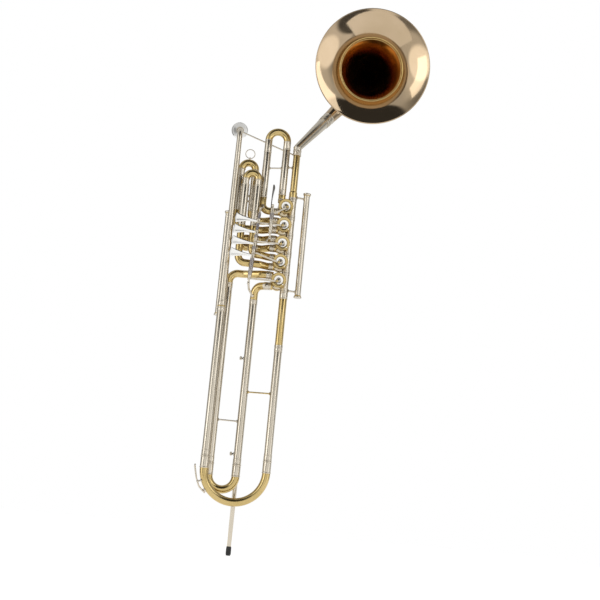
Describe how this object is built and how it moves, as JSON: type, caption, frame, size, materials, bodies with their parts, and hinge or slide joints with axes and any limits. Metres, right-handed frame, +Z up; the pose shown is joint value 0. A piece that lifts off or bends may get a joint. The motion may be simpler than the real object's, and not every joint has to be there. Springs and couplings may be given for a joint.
{
  "type": "valve contrabass trombone",
  "caption": "Upright contrabass valve trombone with a forward-facing flared bell, rotary valves, tuning slides, grips, mouthpiece and endpin.",
  "frame": {"origin": "middle of the valve block, halfway between the two legs of the main slide and level with the second valve's axis, where the instrument is held", "axes": "+Z up along the tubes, bell facing -Y, player on the +Y side, valves and bell on the +X side"},
  "size_m": [0.4323, 0.3185, 1.2422],
  "materials": {
    "nickel_silver": "polished, lacquered nickel silver",
    "yellow_brass": "polished, clear lacquered yellow brass",
    "gold_brass": "polished, clear lacquered gold brass",
    "silver_plate": "polished silver plate",
    "dark_steel": "polished dark steel",
    "rubber": "matte black"
  },
  "bodies": {
    "root": {"leadpipe": "nickel_silver", "main_outer_tube_left": "nickel_silver", "main_outer_tube_right": "nickel_silver", "valve_inlet_tube": "yellow_brass", "valve_casing_1": "yellow_brass", "valve_cap_1": "yellow_brass", "valve_casing_2": "yellow_brass", "valve_cap_2": "yellow_brass", "valve_casing_3": "yellow_brass", "valve_cap_3": "yellow_brass", "valve_casing_4": "yellow_brass", "valve_cap_4": "yellow_brass", "valve_casing_5": "yellow_brass", "valve_cap_5": "yellow_brass", "fifth_slide_tubes": "nickel_silver", "first_slide_tubes": "nickel_silver", "third_slide_tubes": "nickel_silver", "second_slide_tubes": "nickel_silver", "fourth_outer_tube_left": "nickel_silver", "fourth_outer_tube_right": "nickel_silver", "brace_upper": "yellow_brass", "bell_branch": "yellow_brass", "leadpipe_brace": "nickel_silver", "grip_right": "nickel_silver", "grip_left": "nickel_silver", "endpin_clamp_upper": "nickel_silver", "endpin_clamp_lower": "nickel_silver", "lever_hinge_rod": "nickel_silver", "thumb_lever_post": "nickel_silver"},
    "main_slide": {"main_slide": "yellow_brass"},
    "fourth_slide": {"fourth_slide": "yellow_brass"},
    "fifth_slide": {"fifth_slide": "yellow_brass"},
    "first_slide": {"first_slide": "yellow_brass"},
    "pull_ring": {"pull_ring": "nickel_silver"},
    "third_slide": {"third_slide": "yellow_brass"},
    "second_slide": {"second_slide": "yellow_brass"},
    "lever_1": {"lever_1": "nickel_silver"},
    "link_1": {"link_1": "nickel_silver"},
    "rotor_1": {"rotor_1": "nickel_silver"},
    "lever_2": {"lever_2": "nickel_silver"},
    "link_2": {"link_2": "nickel_silver"},
    "rotor_2": {"rotor_2": "nickel_silver"},
    "lever_3": {"lever_3": "nickel_silver"},
    "link_3": {"link_3": "nickel_silver"},
    "rotor_3": {"rotor_3": "nickel_silver"},
    "lever_4": {"lever_4": "nickel_silver"},
    "link_4": {"link_4": "nickel_silver"},
    "rotor_4": {"rotor_4": "nickel_silver"},
    "thumb_lever": {"thumb_lever": "dark_steel"},
    "link_5": {"link_5": "nickel_silver"},
    "rotor_5": {"rotor_5": "nickel_silver"},
    "bell": {"bell_stem": "nickel_silver", "bell": "gold_brass"},
    "bell_lock_screw": {"bell_lock_screw": "nickel_silver"},
    "mouthpiece": {"mouthpiece": "silver_plate"},
    "endpin": {"endpin_rod": "nickel_silver", "endpin_tip": "rubber"},
    "clamp_screw_upper": {"clamp_screw_upper": "nickel_silver"},
    "clamp_screw_lower": {"clamp_screw_lower": "nickel_silver"},
    "water_key": {"water_key": "nickel_silver"}
  },
  "joints": [
    {"name": "main_slide_pull", "type": "slide", "parent": "root", "child": "main_slide", "axis": [0, 0, -1], "range_m": [0, 0.1]},
    {"name": "fourth_slide_pull", "type": "slide", "parent": "root", "child": "fourth_slide", "axis": [0, 0, -1], "range_m": [0, 0.1]},
    {"name": "fifth_slide_pull", "type": "slide", "parent": "root", "child": "fifth_slide", "axis": [0, 0, 1], "range_m": [0, 0.07]},
    {"name": "first_slide_pull", "type": "slide", "parent": "root", "child": "first_slide", "axis": [0, 0, 1], "range_m": [0, 0.045]},
    {"name": "pull_ring_swing", "type": "hinge", "parent": "first_slide", "child": "pull_ring", "pos_m": [-0.04, 0.017, 0.2041], "axis": [1, 0, 0], "range_deg": [-90, 90]},
    {"name": "third_slide_pull", "type": "slide", "parent": "root", "child": "third_slide", "axis": [0, 0, 1], "range_m": [0, 0.06]},
    {"name": "second_slide_pull", "type": "slide", "parent": "root", "child": "second_slide", "axis": [-1, 0, 0], "range_m": [0, 0.012]},
    {"name": "lever_1_press", "type": "hinge", "parent": "root", "child": "lever_1", "pos_m": [-0.00932, -0.0485, 0], "axis": [-0.0569, 0, -0.9984], "range_deg": [0, 25], "stiffness_Nm_per_rad": 0.12, "springref_deg": -34.38},
    {"name": "link_1_pivot", "type": "hinge", "parent": "lever_1", "child": "link_1", "pos_m": [-0.0071, -0.0285, 0.039], "axis": [-0.0569, 0, -0.9984], "range_deg": [-25.5, 0.5]},
    {"name": "rotor_1_turn", "type": "hinge", "parent": "root", "child": "rotor_1", "pos_m": [0.054, 0, 0.044], "axis": [0, -1, 0], "range_deg": [-0.5, 90.5]},
    {"name": "lever_2_press", "type": "hinge", "parent": "root", "child": "lever_2", "pos_m": [-0.00932, -0.0485, 0], "axis": [-0.0569, 0, -0.9984], "range_deg": [0, 25], "stiffness_Nm_per_rad": 0.12, "springref_deg": -34.38},
    {"name": "link_2_pivot", "type": "hinge", "parent": "lever_2", "child": "link_2", "pos_m": [-0.0096, -0.0285, -0.005], "axis": [-0.0569, 0, -0.9984], "range_deg": [-25.5, 0.5]},
    {"name": "rotor_2_turn", "type": "hinge", "parent": "root", "child": "rotor_2", "pos_m": [0.054, 0, 0], "axis": [0, -1, 0], "range_deg": [-0.5, 90.5]},
    {"name": "lever_3_press", "type": "hinge", "parent": "root", "child": "lever_3", "pos_m": [-0.00932, -0.0485, 0], "axis": [-0.0569, 0, -0.9984], "range_deg": [0, 25], "stiffness_Nm_per_rad": 0.12, "springref_deg": -34.38},
    {"name": "link_3_pivot", "type": "hinge", "parent": "lever_3", "child": "link_3", "pos_m": [-0.0112, -0.0285, -0.033], "axis": [-0.0569, 0, -0.9984], "range_deg": [-25.5, 0.5]},
    {"name": "rotor_3_turn", "type": "hinge", "parent": "root", "child": "rotor_3", "pos_m": [0.054, 0, -0.044], "axis": [0, -1, 0], "range_deg": [-0.5, 90.5]},
    {"name": "lever_4_press", "type": "hinge", "parent": "root", "child": "lever_4", "pos_m": [-0.00932, -0.0485, 0], "axis": [-0.0569, 0, -0.9984], "range_deg": [0, 25], "stiffness_Nm_per_rad": 0.12, "springref_deg": -34.38},
    {"name": "link_4_pivot", "type": "hinge", "parent": "lever_4", "child": "link_4", "pos_m": [-0.01462, -0.0285, -0.093], "axis": [-0.0569, 0, -0.9984], "range_deg": [-25.5, 0.5]},
    {"name": "rotor_4_turn", "type": "hinge", "parent": "root", "child": "rotor_4", "pos_m": [0.054, 0, -0.088], "axis": [0, -1, 0], "range_deg": [-0.5, 90.5]},
    {"name": "thumb_lever_press", "type": "hinge", "parent": "root", "child": "thumb_lever", "pos_m": [0.022, -0.0485, 0.04], "axis": [0, 0, 1], "range_deg": [0, 18.5], "stiffness_Nm_per_rad": 0.12, "springref_deg": -34.38},
    {"name": "link_5_pivot", "type": "hinge", "parent": "thumb_lever", "child": "link_5", "pos_m": [0.022, -0.0285, 0.067], "axis": [0, 0, 1], "range_deg": [-19, 0.5]},
    {"name": "rotor_5_turn", "type": "hinge", "parent": "root", "child": "rotor_5", "pos_m": [0.054, 0, 0.088], "axis": [0, 1, 0], "range_deg": [-0.5, 90.5]},
    {"name": "bell_lift", "type": "slide", "parent": "root", "child": "bell", "axis": [0, 0, 1], "range_m": [0, 0.034]},
    {"name": "bell_lock_turn", "type": "hinge", "parent": "root", "child": "bell_lock_screw", "pos_m": [0.0695, -0.0103, 0.225], "axis": [0, -1, 0], "range_deg": [0, 360]},
    {"name": "mouthpiece_pull", "type": "slide", "parent": "root", "child": "mouthpiece", "axis": [0, 0.9455, 0.3256], "range_m": [0, 0.03]},
    {"name": "endpin_slide", "type": "slide", "parent": "root", "child": "endpin", "axis": [0, 0, 1], "range_m": [-0.01, 0.1]},
    {"name": "clamp_upper_turn", "type": "hinge", "parent": "root", "child": "clamp_screw_upper", "pos_m": [-0.01, 0.038, -0.27], "axis": [-1, 0, 0], "range_deg": [0, 360]},
    {"name": "clamp_lower_turn", "type": "hinge", "parent": "root", "child": "clamp_screw_lower", "pos_m": [-0.01, 0.038, -0.49], "axis": [-1, 0, 0], "range_deg": [0, 360]},
    {"name": "water_key_press", "type": "hinge", "parent": "main_slide", "child": "water_key", "pos_m": [-0.08057, 0, -0.55823], "axis": [0, 1, 0], "range_deg": [0, 10], "stiffness_Nm_per_rad": 0.05, "springref_deg": -28.65}
  ],
  "couplings": [
    {"joint": "link_1_pivot", "follows": "lever_1_press", "ratio": -1},
    {"joint": "rotor_1_turn", "follows": "lever_1_press", "ratio": 3.6},
    {"joint": "link_2_pivot", "follows": "lever_2_press", "ratio": -1},
    {"joint": "rotor_2_turn", "follows": "lever_2_press", "ratio": 3.6},
    {"joint": "link_3_pivot", "follows": "lever_3_press", "ratio": -1},
    {"joint": "rotor_3_turn", "follows": "lever_3_press", "ratio": 3.6},
    {"joint": "link_4_pivot", "follows": "lever_4_press", "ratio": -1},
    {"joint": "rotor_4_turn", "follows": "lever_4_press", "ratio": 3.6},
    {"joint": "link_5_pivot", "follows": "thumb_lever_press", "ratio": -1},
    {"joint": "rotor_5_turn", "follows": "thumb_lever_press", "ratio": 4.8649}
  ]
}
